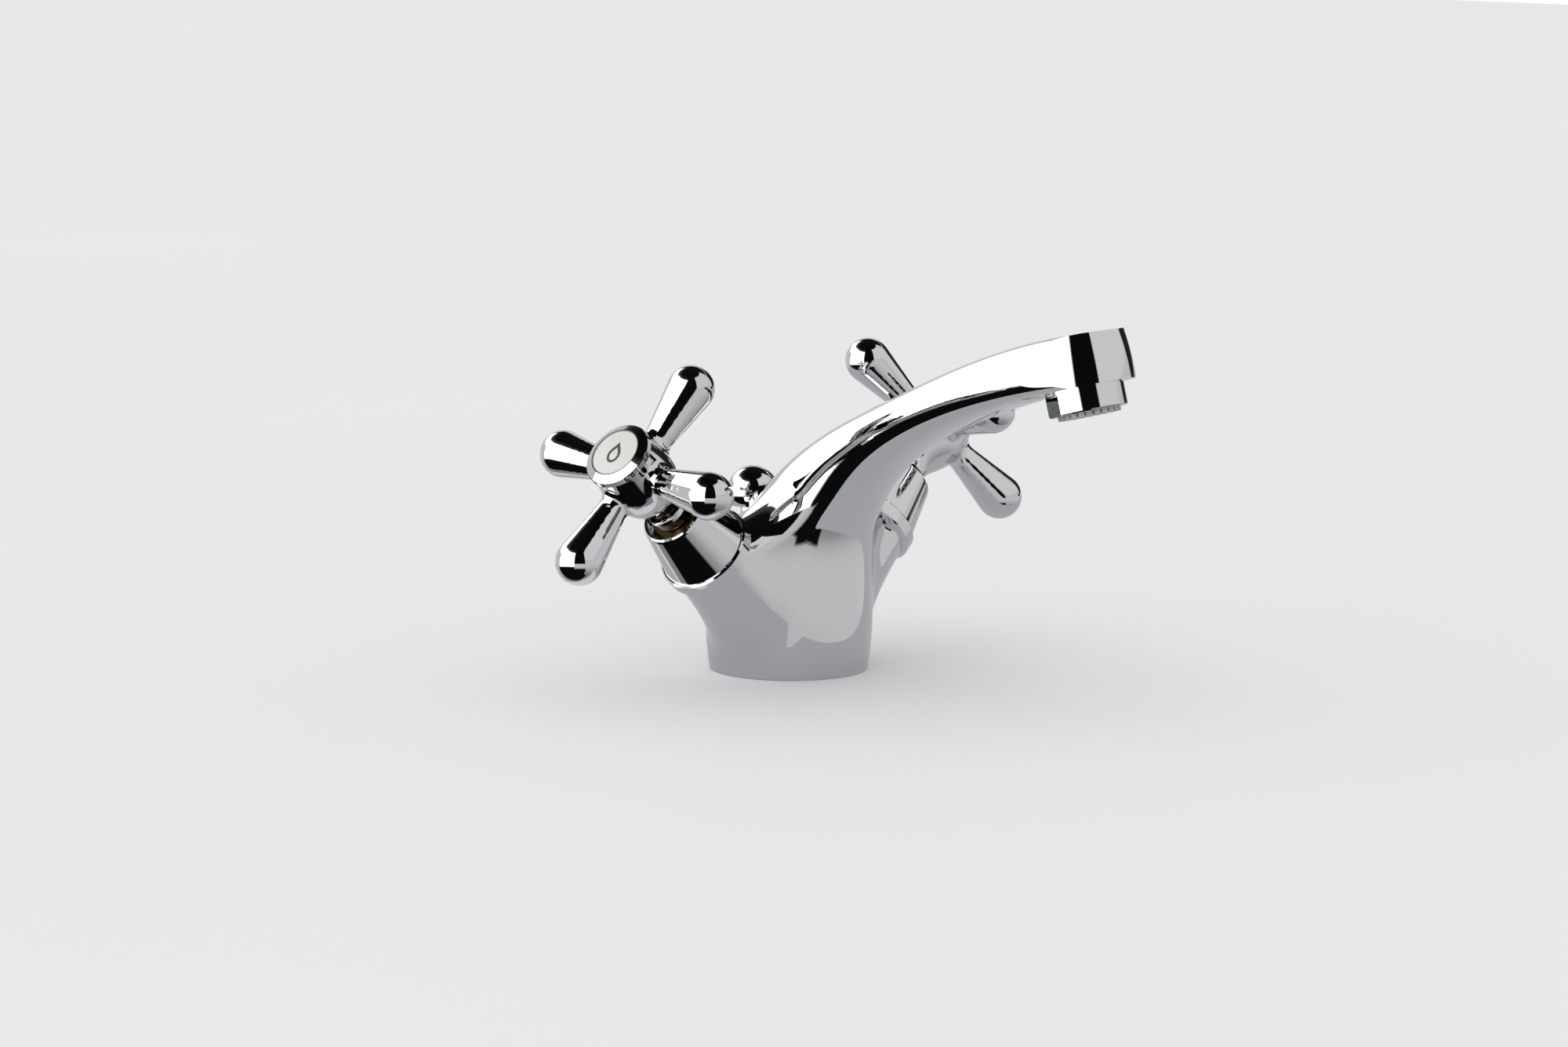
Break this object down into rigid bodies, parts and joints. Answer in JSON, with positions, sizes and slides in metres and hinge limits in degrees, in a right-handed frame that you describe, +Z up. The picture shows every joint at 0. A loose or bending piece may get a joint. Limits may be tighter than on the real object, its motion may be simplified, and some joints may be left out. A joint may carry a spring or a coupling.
{
  "type": "basin mixer tap",
  "caption": "Single-hole basin mixer tap with an arched cast spout, two quarter-turn cross handles on slanted arms, an aerator and a pop-up lift rod, with its under-deck clamp.",
  "frame": {"origin": "centre of the base's lower face, where the tap stands on the deck", "axes": "+Z up, -Y forward along the spout, -X towards the hot handle, +X towards the cold handle"},
  "size_m": [0.1983, 0.1692, 0.2013],
  "materials": {
    "chrome": "polished",
    "brass": "machined",
    "ceramic": "lapped",
    "rubber": "matte",
    "steel": "bright",
    "grey_plastic": "moulded",
    "enamel": "glossy"
  },
  "bodies": {
    "tap": {"mixer_body": "chrome", "base_gasket": "rubber", "aerator_housing": "chrome", "aerator_insert": "grey_plastic", "aerator_screen": "steel", "aerator_washer": "rubber", "rod_bush": "grey_plastic", "fixing_stud": "steel", "clamp_rubber": "rubber", "clamp_plate": "steel", "fixing_nut": "steel", "hot_shroud": "chrome", "hot_headwork": "brass", "hot_seat_seal": "rubber", "hot_fixed_disc": "ceramic", "cold_shroud": "chrome", "cold_headwork": "brass", "cold_seat_seal": "rubber", "cold_fixed_disc": "ceramic"},
    "hot_valve": {"hot_moving_disc": "ceramic", "hot_spindle": "brass", "hot_spindle_seal": "rubber", "hot_spindle_clip": "steel", "hot_handle": "chrome", "hot_handle_screw": "steel", "hot_cap_ring": "chrome", "hot_index_disc": "enamel"},
    "cold_valve": {"cold_moving_disc": "ceramic", "cold_spindle": "brass", "cold_spindle_seal": "rubber", "cold_spindle_clip": "steel", "cold_handle": "chrome", "cold_handle_screw": "steel", "cold_cap_ring": "chrome", "cold_index_disc": "enamel"},
    "lift": {"lift_rod": "chrome", "lift_knob": "chrome"}
  },
  "joints": [
    {"name": "hot_turn", "type": "hinge", "parent": "tap", "child": "hot_valve", "pos_m": [0, 0, 0.008], "axis": [-0.766, 0, 0.6428], "range_deg": [0, 90]},
    {"name": "cold_turn", "type": "hinge", "parent": "tap", "child": "cold_valve", "pos_m": [0, 0, 0.008], "axis": [0.766, 0, 0.6428], "range_deg": [-90, 0]},
    {"name": "lift_slide", "type": "slide", "parent": "tap", "child": "lift", "axis": [0, 0, 1], "range_m": [0, 0.018]}
  ]
}
